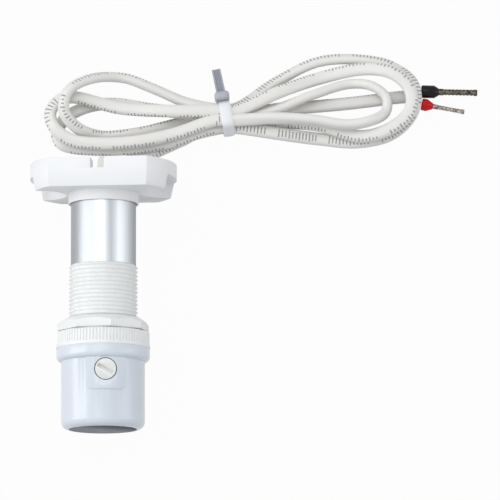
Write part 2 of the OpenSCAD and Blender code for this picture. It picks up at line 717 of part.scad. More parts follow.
module core_end(from_y, to, slope) {
    start = [tail_end[0] + core_end_gap, tail_end[1] + from_y, tail_end[2]];
    stop = to - core_end_gap * heading_of(slope);
    bend = smooth_route([start + [core_d / 2, 0, 0], stop - core_d / 2 * heading_of(slope)], 4);
    swept(concat([start], bend, [stop]), core_d, 8);
}

module ferrule_axis(at, slope) { translate(at) rotate([0, 0, slope]) rotate([0, 90, 0]) children(); }

module ferrule_collar(at, slope, d, length, taper_l, pin_d) {
    ferrule_axis(at, slope) rotate_extrude() polygon([[0, -length], [d / 2 - collar_edge, -length],
        [d / 2, -length + collar_edge], [d / 2, -taper_l], [pin_d / 2 + core_gap, 0], [0, 0]]);
}

module ferrule_pin(at, slope, d, length) { ferrule_axis(at, slope) cylinder(d = d, h = length); }

module black_core_end() { color("black") core_end(core_d * 0.6, black_in, black_slope); }
module red_core_end() { color("red") core_end(-core_d * 0.6, red_in, red_slope); }
module black_collar() {
    color("black") ferrule_collar(black_collar_end, black_slope, black_collar_d, black_collar_l,
        black_taper_l, black_pin_d);
}
module red_collar() {
    color("red") ferrule_collar(red_collar_end, red_slope, red_collar_d, red_collar_l, red_taper_l,
        red_pin_d);
}
module black_pin() { color("silver") ferrule_pin(black_collar_end, black_slope, black_pin_d, black_pin_l); }
module red_pin() { color("silver") ferrule_pin(red_collar_end, red_slope, red_pin_d, red_pin_l); }

// Cable tie
tie_turn = 6;           // slant of the tie across the strands
tie_clear = 0.45;
tie_head = [5.6, 4, 6];
tie_tail_w = 3.4;
tie_tail_lift = 8;      // how far the free end rises, in degrees
tie_tail_turn = 3;
tie_head_z = waist_z + row_rise;

module strand_outline(extra) {
    hull() for (s = [low_far, low_near, mid_far, mid_near, top_far, top_near])
        translate(s) circle(d = lead_d + 2 * extra, $fn = 32);
}

module cable_tie() {
    color("lightgray") translate([tie_x, tie_y, 0]) rotate([0, 0, tie_turn]) {
        rotate([90, 0, 90]) translate([0, 0, -tie_w / 2]) linear_extrude(height = tie_w)
            difference() {
                strand_outline(tie_clear + tie_t);
                strand_outline(tie_clear);
            }
        translate([-tie_head[0] / 2 - tie_clear, strand_pitch + lead_d / 2 + tie_clear + tie_t * 0.6,
            tie_head_z - tie_head[2] / 2]) cube(tie_head);
        translate([-tie_tail_w / 2 - 2 * tie_clear, strand_pitch + lead_d / 2 + tie_head[1],
            tie_head_z + tie_t]) rotate([tie_tail_lift, 0, tie_tail_turn])
            cube([tie_tail_w, tie_tail_l, tie_t]);
    }
}

mounting_base();
body_tube();
foil_label();
nut_gasket();
lock_nut();
sensor_cap();
cap_seal();
light_window();
adjuster_dial();
trimmer_body();
circuit_board();
detector_board();
light_detector();
control_chip();
voltage_regulator();
capacitors();
resistors();
rear_plug();
lead_grommet();
black_core_inner();
red_core_inner();
lead_entry();
lead_hank();
lead_tail();
cable_tie();
black_core_end();
red_core_end();
black_collar();
red_collar();
black_pin();
red_pin();

union() {
    echo(lean = lean, along = [0, cos(lean), sin(lean)], place_y = place_y, place_z = place_z, end_z = end_z);
    echo(hank_gap = least_gap(gap_points), hank_length = route_length(hank_route));
    echo(entry_length = route_length(entry_route), tail_length = route_length(tail_route));
    echo(grommet_mouth = grommet_mouth, grommet_lip = grommet_lip, dial = placed([0, 0, dial_z]));
}
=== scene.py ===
# %% [markdown]
# # A twilight sensor and its lead
# The sensor lies on a table with its mounting base away from us, and its lead is tied in a hank at its
# side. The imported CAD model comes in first. It gives every solid its place, so each piece that we make
# stands where the CAD says. Lengths are in millimetres, and MM turns them into Blender's metres.

# %% Load the frame
import bpy, bmesh, math
import numpy as np
from mathutils import Matrix, Vector


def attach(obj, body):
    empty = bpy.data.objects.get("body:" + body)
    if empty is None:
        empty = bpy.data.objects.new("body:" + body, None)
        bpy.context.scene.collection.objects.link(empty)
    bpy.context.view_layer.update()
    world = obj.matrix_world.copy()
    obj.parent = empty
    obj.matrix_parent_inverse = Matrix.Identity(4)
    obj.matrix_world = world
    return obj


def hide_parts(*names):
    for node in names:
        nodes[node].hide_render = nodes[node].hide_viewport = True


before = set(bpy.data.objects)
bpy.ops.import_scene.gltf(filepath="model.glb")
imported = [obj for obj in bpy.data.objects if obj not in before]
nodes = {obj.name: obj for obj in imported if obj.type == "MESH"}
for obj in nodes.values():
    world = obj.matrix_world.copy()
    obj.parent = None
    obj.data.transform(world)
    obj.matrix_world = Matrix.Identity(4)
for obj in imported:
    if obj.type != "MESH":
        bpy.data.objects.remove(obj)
scene = bpy.context.scene
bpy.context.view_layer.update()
MM = 0.001
TINY = 1e-6

# %% [markdown]
# ## The camera
# The photo was taken from high above with a long lens, so that the sensor hardly narrows with distance.
# The elevation and distance come from the base's rim and the cap's end, which show how far the axis
# tilts away from us.

# %% Set the camera
CAMERA_ELEVATION = math.radians(76.9)
CAMERA_DISTANCE = 1.4625
CAMERA_ROLL = math.radians(-0.2)
CAMERA_LENS, SENSOR_WIDTH = 288.0, 36.0
CLIP_NEAR, CLIP_FAR = 0.05, 20.0
camera_target = Vector((53.5, 17.5, 17.0)) * MM
camera_data = bpy.data.cameras.new("camera")
camera_data.lens, camera_data.sensor_width = CAMERA_LENS, SENSOR_WIDTH
camera_data.clip_start, camera_data.clip_end = CLIP_NEAR, CLIP_FAR
camera = bpy.data.objects.new("camera", camera_data)
scene.collection.objects.link(camera)
look = Vector((0, math.cos(CAMERA_ELEVATION), -math.sin(CAMERA_ELEVATION)))
camera.matrix_world = (Matrix.Translation(camera_target - CAMERA_DISTANCE * look)
    @ Matrix.Rotation(math.pi / 2 - CAMERA_ELEVATION, 4, "X") @ Matrix.Rotation(CAMERA_ROLL, 4, "Z"))
scene.camera = camera
print("camera at", tuple(round(v, 4) for v in camera.location))

# %% [markdown]
# ## Small helpers
# Most pieces are made from lists of points, so a helper that turns points and faces into an object is
# the first tool. It shades smooth and keeps edges sharp where two faces meet at a real corner. The jacket,
# the pins and the tie are all rows of rings, so their faces come from one more helper.

# %% Make an object from points and faces
def make_piece(name, points, faces, material, smooth=40):
    """Faces that meet at less than smooth, in degrees, are shaded as one round surface."""
    mesh = bpy.data.meshes.new(name)
    mesh.from_pydata([tuple(p) for p in points], [], faces)
    mesh.validate()
    return placed_piece(name, mesh, material, smooth)


def placed_piece(name, mesh, material, smooth):
    piece = bpy.data.objects.new(name, mesh)
    scene.collection.objects.link(piece)
    bm = bmesh.new()
    bm.from_mesh(mesh)
    bmesh.ops.recalc_face_normals(bm, faces=bm.faces)
    for face in bm.faces:
        face.smooth = True
    for edge in bm.edges:
        edge.smooth = len(edge.link_faces) < 2 or edge.calc_face_angle(0) < math.radians(smooth)
    bm.to_mesh(mesh)
    bm.free()
    mesh.materials.append(material)
    return piece

# %% Join rings of points, and move them
def ring_faces(rings, sides, looped=False):
    """Faces between rings: a looped row joins its last ring to its first, and any other gets two ends."""
    pairs = [(i, (i + 1) % rings) for i in range(rings if looped else rings - 1)]
    faces = [(i * sides + k, i * sides + (k + 1) % sides, j * sides + (k + 1) % sides, j * sides + k)
        for i, j in pairs for k in range(sides)]
    if not looped:
        faces += [tuple(range(sides))[::-1], tuple((rings - 1) * sides + k for k in range(sides))]
    return faces


def shifted(x, y, z):
    return Matrix.Translation(Vector((x, y, z)) * MM)


def turned_by(degrees, axis):
    return Matrix.Rotation(math.radians(degrees), 4, axis)


print("two rings of four points make a box of", len(ring_faces(2, 4)), "faces")

# %% [markdown]
# ## The lead's route
# A lead is a fixed length of something flexible, so its route comes before its shape. The loops follow
# the same rule as the CAD model's: each lobe leaves the tie in its own slot, runs out, turns round its
# tip and comes back, and humps lift it where it lies over another strand.

# %% Where the tie holds the strands
TIE_X, TIE_Y, TIE_HALF = 44.5, 70.1, 3.6
GROUND_Z, WAIST_Z, PITCH, CROSS_RISE = 2.3, 3.6, 4.8, 4.9
# strands stack like logs, each row in the hollows of the row below
STACK_ANGLE = math.radians(60)
ROW_RISE = PITCH * math.sin(STACK_ANGLE)
MID_Z, TOP_Z = WAIST_Z + ROW_RISE, WAIST_Z + 2 * ROW_RISE
low_far, low_near = (PITCH / 2, WAIST_Z), (-PITCH / 2, WAIST_Z)
mid_far, mid, mid_near = (PITCH, MID_Z), (0, MID_Z), (-PITCH, MID_Z)
top_far, top_near = (PITCH / 2, TOP_Z), (-PITCH / 2, TOP_Z)
print("slots in the tie from", WAIST_Z, "to", round(TOP_Z, 2), "mm up")

# %% The six lobes
# side, slot in, slot out, end of the run in, start of the run out, reach, sway in, sway out, humps
# a hump: its place in the lobe, half its flat top, its slope, its share of CROSS_RISE
LOOPS = [
    (1, low_near, top_far, (95.1, 63.1), (96, 89), 18.4, 4.6, -0.3,
        [(1.5, 0.3, 0.25, 1.75), (1.5, 0.72, 0.25, 1.04), (2.84, 0.12, 0.24, 1.9)]),
    (-1, top_far, top_near, (-12.6, 78.4), (-3.6, 60.2), 12.1, -3.8, -1.4,
        [(0.26, 0.22, 0.3, 2.2), (1.3, 0.9, 0.3, 1.1), (2.6, 0.5, 0.3, 2.05)]),
    (1, top_near, mid, (89.9, 66.4), (91, 83.8), 14.5, 2.1, -3.3,
        [(0.58, 0.58, 0.3, 1.98), (1.2, 0.6, 0.35, 1.04), (2.65, 0.33, 0.25, 1.04)]),
    (-1, mid, mid_near, (1.8, 77.1), (-12.5, 60.4), 11.9, -0.9, -2.5,
        [(0.14, 0.19, 0.22, 1.13), (2.74, 0.32, 0.2, 1)]),
    (1, mid_near, mid_far, (93.5, 62.1), (94.9, 93.7), 21.3, 0.9, 2.5,
        [(0.12, 0.12, 0.25, 1.1), (1.5, 0.1, 0.17, 0.85)]),
    (-1, mid_far, low_far, (5.8, 87), (-1.2, 64.3), 17.7, -2.6, 0.1,
        [(1.42, 0.12, 0.25, 2.13), (1.7, 0.1, 0.2, 1.05)])]
# the share of a run in which a strand comes down from its slot to the table
FALL_SHARE = 0.42
LEAVE_SOFT = 0.1
RUN_STEPS, TIP_STEPS = 3, 5


def clamped(t):
    return max(0.0, min(1.0, t))


def ease(t):
    return t * t * (3 - 2 * t)


def leaves(t):
    """How far a strand has spread sideways: slowly by the tie, where the strands lie side by side."""
    return math.sin(math.pi / 2 * t * t * (1 + LEAVE_SOFT) / (t + LEAVE_SOFT))


print("lobes", len(LOOPS))

# %% The points of one lobe
def lobe_point(lobe, w):
    """A lobe runs out while w goes from 0 to 1, round its tip up to 2, and back to the tie at 3."""
    side, slot_in, slot_out, run_in, run_out, reach, sway_in, sway_out, humps = lobe
    start_x = TIE_X + side * TIE_HALF
    if 1 <= w < 2:
        u = w - 1
        x = run_in[0] + (run_out[0] - run_in[0]) * u + side * reach * math.sin(math.pi * u)
        y = run_in[1] + (run_out[1] - run_in[1]) * (1 - math.cos(math.pi * u)) / 2
    else:
        t, slot, end, sway = (w, slot_in, run_in, sway_in) if w < 1 else (3 - w, slot_out, run_out, sway_out)
        start_y = TIE_Y + slot[0]
        x = start_x + (end[0] - start_x) * t
        y = start_y + (end[1] - start_y) * leaves(t) + sway * math.sin(math.pi * t)
    slot_z, run = (slot_in[1], w) if w < 1.5 else (slot_out[1], 3 - w)
    fall = (slot_z - GROUND_Z) * ease(clamped(1 - run / FALL_SHARE))
    rise = CROSS_RISE * max(share * ease(clamped((flat + slope - abs(w - at)) / slope))
        for at, flat, slope, share in humps)
    return (x, y, GROUND_Z + max(fall, rise))


lobe_places = ([i / RUN_STEPS for i in range(RUN_STEPS)] + [1 + i / TIP_STEPS for i in range(TIP_STEPS + 1)]
    + [2 + i / RUN_STEPS for i in range(1, RUN_STEPS + 1)])
hank_points = [lobe_point(lobe, w) for lobe in LOOPS for w in lobe_places]
print("points in the hank", len(hank_points))

# %% [markdown]
# The lead leaves the tube through a grommet, bends down behind the base, runs along the table to the
# hank, and comes out of it again towards its two cores. The jacket is a flat oval, lower than the CAD's
# round tube, so every strand settles a little: the ones on the table by half a millimetre, and the
# upper ones onto the ones below them. The tie also draws the strands together.

# %% Let the strands settle
ENTRY = [(0, 36.59, 20.85), (0, 40.48, 21.11), (0, 43.6, 21.2), (0, 47.4, 20.6), (0, 50.4, 18.4),
    (0, 52, 15), (0, 52.3, 11), (1.2, 52.4, 7.8), (4.2, 53.1, 5.6), (8.6, 54.6, 3.8), (14, 56.6, 2.5),
    (20, 59.2, 2.3), (25, 61.54, 2.3), (28.9, 63.1, 2.3), (32.8, 64.66, 2.3)]
TAIL = [(55.93, 73.9, 2.3), (60.1, 74.4, 2.3), (64.27, 74.9, 2.3), (72, 75.4, 2.3), (80, 76, 2.3),
    (90, 76.9, 2.3), (100, 78.1, 2.3), (106, 78.9, 2.3), (110, 79.3, 2.3), (112.6, 79.5, 2.3)]
JACKET_W, JACKET_H, TABLE_GAP = 4.8, 3.5, 0.05
LEAST_Z = JACKET_H / 2 + TABLE_GAP
# the share of its height over the table that a strand keeps, since the jacket is lower than the tube
SETTLE = 0.88
# the tie takes this share off the bundle's width, fully up to one distance and not at all past the other
TIE_SQUEEZE, SQUEEZE_FROM, SQUEEZE_TO = 0.26, 4.0, 19.0


def squeezed(x, y, z):
    """Strands lie closer together where the tie holds them."""
    share = 1 - ease(clamped((abs(x - TIE_X) - SQUEEZE_FROM) / (SQUEEZE_TO - SQUEEZE_FROM)))
    return (x, TIE_Y + (y - TIE_Y) * (1 - TIE_SQUEEZE * share), z)


def settled(x, y, z):
    return squeezed(x, y, LEAST_Z + (z - GROUND_Z) * SETTLE)


def settled_entry(x, y, z):
    """The lead's first stretch keeps its height at the grommet and settles where it nears the table."""
    share = clamped((z - GROUND_Z) / (ENTRY[0][2] - GROUND_Z))
    return squeezed(x, y, z - (GROUND_Z - LEAST_Z) * (1 - share))


route = [settled_entry(*p) for p in ENTRY] + [settled(*p) for p in hank_points + TAIL]
print("route points", len(route))

# %% Draw a smooth line through the route
SMOOTH_STEPS, RING_STEP = 24, 1.25


def smooth_route(points, spacing):
    """A smooth line with a point every so many millimetres, the places on it, and where points lie."""
    p = [Vector(q) for q in points]
    p = [2 * p[0] - p[1]] + p + [2 * p[-1] - p[-2]]
    fine = []
    for i in range(1, len(p) - 2):
        a, b, c, d = p[i - 1:i + 3]
        ab, bc, cd = (max((v - u).length, TINY) ** 0.5 for u, v in ((a, b), (b, c), (c, d)))
        m1 = (b - a) / ab * bc - (c - a) / (ab + bc) * bc + (c - b)
        m2 = (c - b) - (d - b) / (bc + cd) * bc + (d - c) / cd * bc
        for s in range(SMOOTH_STEPS):
            t = s / SMOOTH_STEPS
            fine.append((2 * t**3 - 3 * t**2 + 1) * b + (t**3 - 2 * t**2 + t) * m1
                + (-2 * t**3 + 3 * t**2) * c + (t**3 - t**2) * m2)
    fine.append(p[-2])
    fine = np.array([tuple(q) for q in fine])
    along = np.r_[0, np.cumsum(np.linalg.norm(np.diff(fine, axis=0), axis=1))]
    places = np.linspace(0, along[-1], int(along[-1] / spacing) + 1)
    line = np.stack([np.interp(places, along, fine[:, k]) for k in range(3)], axis=1)
    return line, places, along[::SMOOTH_STEPS]


lead_line, lead_along, point_places = smooth_route(route, RING_STEP)
lead_length = float(lead_along[-1])
print("lead", len(lead_line), "rings,", round(lead_length, 1), "mm long")

# %% [markdown]
# ## How the lead lies along its way
# A flat lead never lies quite flat all the way: where it is bent into a loop it stands up on its edge or
# leans. This table follows the photo, loop by loop: how far the jacket leans from lying flat, and where
# round the jacket its marks are, as a share of the way round.

# %% Lean and marks along the lead
# place in the loop, lean in degrees, place of the marks (0 outer edge, 0.25 top, 0.5 inner edge)
LIES = [
    [(0.0, 0, 0.08), (1.5, 0, 0.12), (3.0, 0, 0.08)],
    [(0.0, 0, 0.42), (0.9, 10, 0.42), (1.6, 35, 0.12), (2.2, 0, 0.08), (3.0, 0, 0.08)],
    [(0.0, 30, 0.75), (0.6, 80, 0.75), (2.4, 80, 0.75), (3.0, 30, 0.75)],
    [(0.0, 0, 0.3), (0.8, 20, 0.08), (2.2, 20, 0.06), (3.0, 0, 0.06)],
    [(0.0, 0, 0.2), (1.0, 0, 0.2), (1.5, 30, 0.18), (2.0, 55, 0.22), (2.6, 55, 0.22), (3.0, 20, 0.2)],
    [(0.0, 30, 0.1), (0.5, 62, 0.12), (1.0, 62, 0.22), (1.5, 55, 0.3), (2.0, 40, 0.42), (3.0, 10, 0.42)]]
ENTRY_MARK, TAIL_MARK, LEAN_EASE = 0.12, 0.42, 8.0
hank_start = float(point_places[len(ENTRY)])
keys = [(0.0, 0.0, ENTRY_MARK), (hank_start - LEAN_EASE, 0.0, ENTRY_MARK)]
for i, rows in enumerate(LIES):
    first = len(ENTRY) + i * len(lobe_places)
    at = point_places[first:first + len(lobe_places)]
    keys += [(float(np.interp(w, lobe_places, at)), lean, mark) for w, lean, mark in rows]
keys += [(keys[-1][0] + LEAN_EASE, 0.0, TAIL_MARK), (lead_length, 0.0, TAIL_MARK)]
key_places, key_leans, key_marks = (np.array(k) for k in zip(*keys))
lead_lean = np.radians(np.interp(lead_along, key_places, key_leans))
lead_marks = np.interp(lead_along, key_places, key_marks)
FLAT_HALF = (JACKET_W - JACKET_H) / 2
lead_line[:, 2] = np.maximum(lead_line[:, 2], LEAST_Z) + FLAT_HALF * np.sin(lead_lean)
least_lean, most_lean = (round(float(np.degrees(v))) for v in (lead_lean.min(), lead_lean.max()))
print("lean from", least_lean, "to", most_lean, "degrees")

# %% [markdown]
# ## Sweep a section along a line
# Each ring of the jacket is turned as little as possible from the one before. Once the lead lies on the
# table its flat side turns face down, because that is how a flat lead comes to rest. UVs hold the
# distance along the lead and the place round it, which a material can use for printing.

# %% Turn the rings
def steady_frames(line, first_up):
    """The direction of the line at each point, and an upward one that turns as little as it can."""
    tangents = np.gradient(line, axis=0)
    tangents /= np.linalg.norm(tangents, axis=1)[:, None]
    ups, up = [], np.array(first_up, float)
    for t in tangents:
        up = up - (up @ t) * t
        up /= np.linalg.norm(up)
        ups.append(up.copy())
    return tangents, np.array(ups)


def lie_flat(along, tangents, ups, from_mm, to_mm, lean):
    """Turns the rings so that past to_mm their flat side faces down, apart from how far they lean."""
    sides = np.cross(tangents, ups)
    flat = np.array([0, 0, 1.0]) - tangents[:, 2:3] * tangents
    flat /= np.maximum(np.linalg.norm(flat, axis=1), TINY)[:, None]
    full_turns = np.unwrap(np.arctan2((flat * sides).sum(1), (flat * ups).sum(1)) + lean)
    turns = full_turns * ease(np.clip((along - from_mm) / (to_mm - from_mm), 0, 1))
    return np.cos(turns)[:, None] * ups + np.sin(turns)[:, None] * sides


FLAT_FROM, FLAT_TO = 20.0, 33.0
lead_tangents, lead_ups = steady_frames(lead_line, (0, 0, 1))
lead_ups = lie_flat(lead_along, lead_tangents, lead_ups, FLAT_FROM, FLAT_TO, lead_lean)
print("rings lie flat past", FLAT_TO, "mm")

# %% Sweep the section
def oval_section(width, height, sides):
    """A flat oval: two half circles joined by straight sides."""
    half, r = (width - height) / 2, height / 2
    places = []
    for k in range(sides):
        a = 2 * math.pi * (k + 0.5) / sides
        c = math.cos(a)
        places.append(((half if c > 0 else -half) + r * c, r * math.sin(a)))
    return places


def sweep(name, line, along, tangents, ups, section, material, marks, smooth=60):
    """The marks give where round each ring the UVs start."""
    sides = np.cross(tangents, ups)
    n = len(section)
    points = [Vector(line[i] + x * sides[i] + y * ups[i]) * MM for i in range(len(line)) for x, y in section]
    piece = make_piece(name, points, ring_faces(len(line), n), material, smooth)
    uv = piece.data.uv_layers.new(name="UVMap").data
    for poly in piece.data.polygons:
        ks = [piece.data.loops[l].vertex_index % n for l in poly.loop_indices]
        wraps = 0 in ks and n - 1 in ks
        for l in poly.loop_indices:
            v = piece.data.loops[l].vertex_index
            k = v % n
            uv[l].uv = (along[v // n] * MM, (n if wraps and k == 0 else k) / n - marks[v // n])
    return piece


SECTION_SIDES = 16
jacket_section = oval_section(JACKET_W, JACKET_H, SECTION_SIDES)
print("section of", len(jacket_section), "points")

# %% [markdown]
# ## Finishes shared by several pieces
# Moulded plastic is never one flat colour: the tone drifts a little where the melt flowed, and a fine
# grain from the mould breaks up the gloss. One node group makes that colour, roughness and height, and
# every moulded piece uses it with its own values.

# %% Short ways to add nodes
def fill(tree, node, values):
    """Sets a node's inputs: a socket is linked, and any other value is typed in."""
    for title, value in values.items():
        if isinstance(value, bpy.types.NodeSocket):
            tree.links.new(value, node.inputs[title])
        else:
            node.inputs[title].default_value = value
    return node


def add(tree, kind, values, **settings):
    node = tree.nodes.new(kind)
    for title, value in settings.items():
        setattr(node, title, value)
    return fill(tree, node, values)


def math_node(tree, operation, *values):
    return add(tree, "ShaderNodeMath", dict(enumerate(values)), operation=operation).outputs[0]


def place_on_piece(tree):
    return add(tree, "ShaderNodeTexCoord", {}).outputs["Object"]


def noise(tree, place, scale, detail):
    return add(tree, "ShaderNodeTexNoise", {"Vector": place, "Scale": scale, "Detail": detail}).outputs["Fac"]


def ramp(tree, value, stops):
    node = add(tree, "ShaderNodeValToRGB", {"Fac": value})
    elements = node.color_ramp.elements
    for stop in stops[1:-1]:
        elements.new(stop[0])
    for element, (at, color) in zip(elements, stops):
        element.position, element.color = at, (*color, 1)
    return node.outputs["Color"]


def relief(tree, height, depth):
    """Bumps of so many millimetres from a height between 0 and 1."""
    values = {"Strength": 1.0, "Distance": depth * MM, "Height": height}
    return add(tree, "ShaderNodeBump", values).outputs["Normal"]


print("node helpers", [f.__name__ for f in (fill, add, math_node, place_on_piece, noise, ramp, relief)])

# %% A node group for moulded plastic
def new_group(name, inputs, outputs):
    """A node group, the sockets that bring its inputs, and the node that takes its outputs."""
    group = bpy.data.node_groups.new(name, "ShaderNodeTree")
    for kind, title, value in inputs:
        socket = group.interface.new_socket(title, in_out="INPUT", socket_type=kind)
        socket.default_value = value
    for kind, title in outputs:
        group.interface.new_socket(title, in_out="OUTPUT", socket_type=kind)
    return group, group.nodes.new("NodeGroupInput").outputs, group.nodes.new("NodeGroupOutput")


DRIFT_SCALE, DRIFT_DETAIL, ROUGH_DRIFT, GRAIN_DETAIL = 90.0, 3.0, 0.12, 2.0
moulded, given, result = new_group("moulded surface",
    [("NodeSocketColor", "Color", (0.8, 0.8, 0.8, 1)), ("NodeSocketFloat", "Tone", 0.04),
     ("NodeSocketFloat", "Roughness", 0.4), ("NodeSocketFloat", "Grain Scale", 2500)],
    [("NodeSocketColor", "Color"), ("NodeSocketFloat", "Roughness"), ("NodeSocketFloat", "Height")])
place = place_on_piece(moulded)
centred = math_node(moulded, "SUBTRACT", noise(moulded, place, DRIFT_SCALE, DRIFT_DETAIL), 0.5)
shade = math_node(moulded, "MULTIPLY_ADD", centred, given["Tone"], 1.0)
toned = add(moulded, "ShaderNodeHueSaturation", {"Color": given["Color"], "Value": shade})
fill(moulded, result, {"Color": toned.outputs["Color"],
    "Roughness": math_node(moulded, "MULTIPLY_ADD", centred, ROUGH_DRIFT, given["Roughness"]),
    "Height": noise(moulded, place, given["Grain Scale"], GRAIN_DETAIL)})
print("group", moulded.name, [s.name for s in moulded.interface.items_tree])

# %% A material from the group
def new_material(name):
    material = bpy.data.materials.new(name)
    material.use_nodes = True
    return material, material.node_tree, material.node_tree.nodes["Principled BSDF"]


def moulded_node(tree, color, roughness, tone, grain):
    values = {"Color": (*color, 1), "Roughness": roughness, "Tone": tone, "Grain Scale": grain}
    return add(tree, "ShaderNodeGroup", values, node_tree=moulded).outputs


def moulded_material(name, color, roughness, tone=0.05, grain=2500.0, depth=0.02, coat=0.0, coat_rough=0.08,
        specular=0.5):
    material, tree, surface = new_material(name)
    made = moulded_node(tree, color, roughness, tone, grain)
    fill(tree, surface, {"Base Color": made["Color"], "Roughness": made["Roughness"],
        "Normal": relief(tree, made["Height"], depth), "Coat Weight": coat, "Coat Roughness": coat_rough,
        "Specular IOR Level": specular})
    return material


base_white = moulded_material("base plastic", (0.86, 0.87, 0.885), 0.42)
print(base_white.name, [n.name for n in base_white.node_tree.nodes])

# %% [markdown]
# The housing is one family of near-white plastics, and only the cap is bluish, clearer and glossier. The
# window has next to no highlight, so that it stays dark under the white tent.

# %% Plastics of the housing
tube_white = moulded_material("tube plastic", (0.86, 0.87, 0.87), 0.38)
nut_white = moulded_material("nut plastic", (0.84, 0.85, 0.85), 0.4)
plug_white = moulded_material("plug plastic", (0.8, 0.8, 0.8), 0.5)
cap_white = moulded_material("cap plastic", (0.68, 0.735, 0.81), 0.3, tone=0.03, grain=1800.0, depth=0.01,
    coat=0.3, coat_rough=0.12, specular=0.4)
dial_white = moulded_material("adjuster plastic", (0.8, 0.81, 0.8), 0.4, tone=0.04, depth=0.01, coat=0.1)
window_dark = moulded_material("window plastic", (0.055, 0.07, 0.12), 0.3, tone=0.1, grain=1500.0,
    depth=0.005, specular=0.03)
print("housing finishes", len(bpy.data.materials))

# %% Nylon, rubber and the plastics of the lead's end
NYLON_GRAIN, RUBBER_GRAIN, COLLAR_GRAIN = 1200.0, 3000.0, 1500.0
tie_pale = moulded_material("tie nylon", (0.82, 0.83, 0.86), 0.34, tone=0.08, grain=NYLON_GRAIN)
# the head and the free end are the strap's nylon, darkened as painted shade
tie_painted_shade = moulded_material("shaded tie nylon", (0.34, 0.365, 0.42), 0.36, tone=0.15, grain=NYLON_GRAIN)
tie_head_painted_shade = moulded_material("tie head nylon painted shade", (0.42, 0.43, 0.48), 0.36, tone=0.1, grain=NYLON_GRAIN)
gasket_gray = moulded_material("gasket rubber", (0.66, 0.67, 0.68), 0.75, tone=0.2, grain=RUBBER_GRAIN,
    depth=0.03)
grommet_black = moulded_material("grommet rubber", (0.03, 0.03, 0.03), 0.7, tone=0.2, grain=RUBBER_GRAIN,
    depth=0.03)
core_black = moulded_material("black core", (0.015, 0.015, 0.015), 0.42, tone=0.3, specular=0.2)
core_red = moulded_material("red core", (0.55, 0.012, 0.012), 0.42, tone=0.2, specular=0.2)
collar_black = moulded_material("black collar", (0.01, 0.01, 0.011), 0.2, tone=0.3, grain=COLLAR_GRAIN,
    depth=0.01, specular=0.16)
collar_red = moulded_material("red collar", (0.6, 0.006, 0.008), 0.2, tone=0.15, grain=COLLAR_GRAIN,
    depth=0.01, specular=0.16)
print("with nylon, rubber and the lead's end", len(bpy.data.materials))

# %% Finishes inside the tube
board_green = moulded_material("board laminate", (0.03, 0.22, 0.1), 0.35, tone=0.15)
chip_black = moulded_material("chip plastic", (0.02, 0.02, 0.02), 0.6, tone=0.3)
trimmer_blue = moulded_material("trimmer plastic", (0.05, 0.12, 0.42), 0.4, tone=0.1)
capacitor_blue = moulded_material("capacitor sleeve", (0.04, 0.05, 0.14), 0.3, tone=0.1)
resistor_dark = moulded_material("resistor body", (0.04, 0.04, 0.05), 0.5, tone=0.2)
print("moulded materials", len(bpy.data.materials))

# %% [markdown]
# ## The lead's jacket
# Soft white PVC is matt with a weak sheen and a faint waxy unevenness. A lead of this kind has small
# grey marks along one side; here they are plain length ticks in groups of twelve, with every third one
# taller, drawn from the UVs.

# %% The jacket's material
# a Mix node's colour sockets have no names of their own, so they are found by number
MIX_FIRST, MIX_SECOND, MIX_RESULT = 6, 7, 2
TICK_STEP, TICK_SHARE, TALL_EVERY, TALL_SHARE = 1.3, 0.36, 3.0, 0.34
TICK_REACH, TALL_MORE = 0.05, 0.03
GROUP_STEPS, GROUP_SHARE = 15, 0.8
INK_COLOR, INK_STRENGTH = (0.16, 0.16, 0.17), 0.75


def below(tree, value, limit):
    return math_node(tree, "LESS_THAN", value, limit)


def repeats(tree, value, step):
    return math_node(tree, "FRACT", math_node(tree, "DIVIDE", value, step))


def tick_marks(tree):
    """1 where a tick is printed: U is the distance along the lead, and V the place round it."""
    uv = add(tree, "ShaderNodeSeparateXYZ", {0: add(tree, "ShaderNodeUVMap", {}, uv_map="UVMap").outputs[0]})
    along, around = uv.outputs["X"], uv.outputs["Y"]
    in_tick = below(tree, repeats(tree, along, TICK_STEP * MM), TICK_SHARE)
    is_tall = below(tree, repeats(tree, along, TALL_EVERY * TICK_STEP * MM), TALL_SHARE)
    reach = math_node(tree, "MULTIPLY_ADD", is_tall, TALL_MORE, TICK_REACH)
    wrapped = math_node(tree, "FRACT", math_node(tree, "ADD", around, 0.5))
    off = math_node(tree, "ABSOLUTE", math_node(tree, "SUBTRACT", wrapped, 0.5))
    in_group = below(tree, repeats(tree, along, GROUP_STEPS * TICK_STEP * MM), GROUP_SHARE)
    in_band = math_node(tree, "MULTIPLY", in_tick, below(tree, off, reach))
    return math_node(tree, "MULTIPLY", in_band, in_group)


def jacket_material():
    material, tree, surface = new_material("lead jacket")
    made = moulded_node(tree, (0.8, 0.79, 0.765), roughness=0.46, tone=0.06, grain=900.0)
    ink = math_node(tree, "MULTIPLY", tick_marks(tree), INK_STRENGTH)
    inked = add(tree, "ShaderNodeMix", {"Factor": ink}, data_type="RGBA")
    fill(tree, inked, {MIX_FIRST: made["Color"], MIX_SECOND: (*INK_COLOR, 1)})
    fill(tree, surface, {"Base Color": inked.outputs[MIX_RESULT], "Roughness": made["Roughness"],
        "Normal": relief(tree, made["Height"], 0.04), "Sheen Weight": 0.1})
    return material


jacket_white = jacket_material()
print("ticks", TICK_STEP, "mm apart,", round(GROUP_STEPS * GROUP_SHARE), "in a group")

# %% Sweep the jacket
lead = sweep("lead", lead_line, lead_along, lead_tangents, lead_ups, jacket_section, jacket_white, lead_marks)
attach(lead, "root")
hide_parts("lead_entry", "lead_hank", "lead_tail")
lowest = min(v.co.z for v in lead.data.vertices) / MM
print("lead faces", len(lead.data.polygons), "lowest", round(lowest, 2), "mm")

# %% [markdown]
# ## The cores and their ferrules
# The two cores leave the jacket side by side and each ends in a ferrule: a plastic collar and a tin
# plated pin with the chequered dents of the crimping tool. The black core's pin is the more tarnished one.

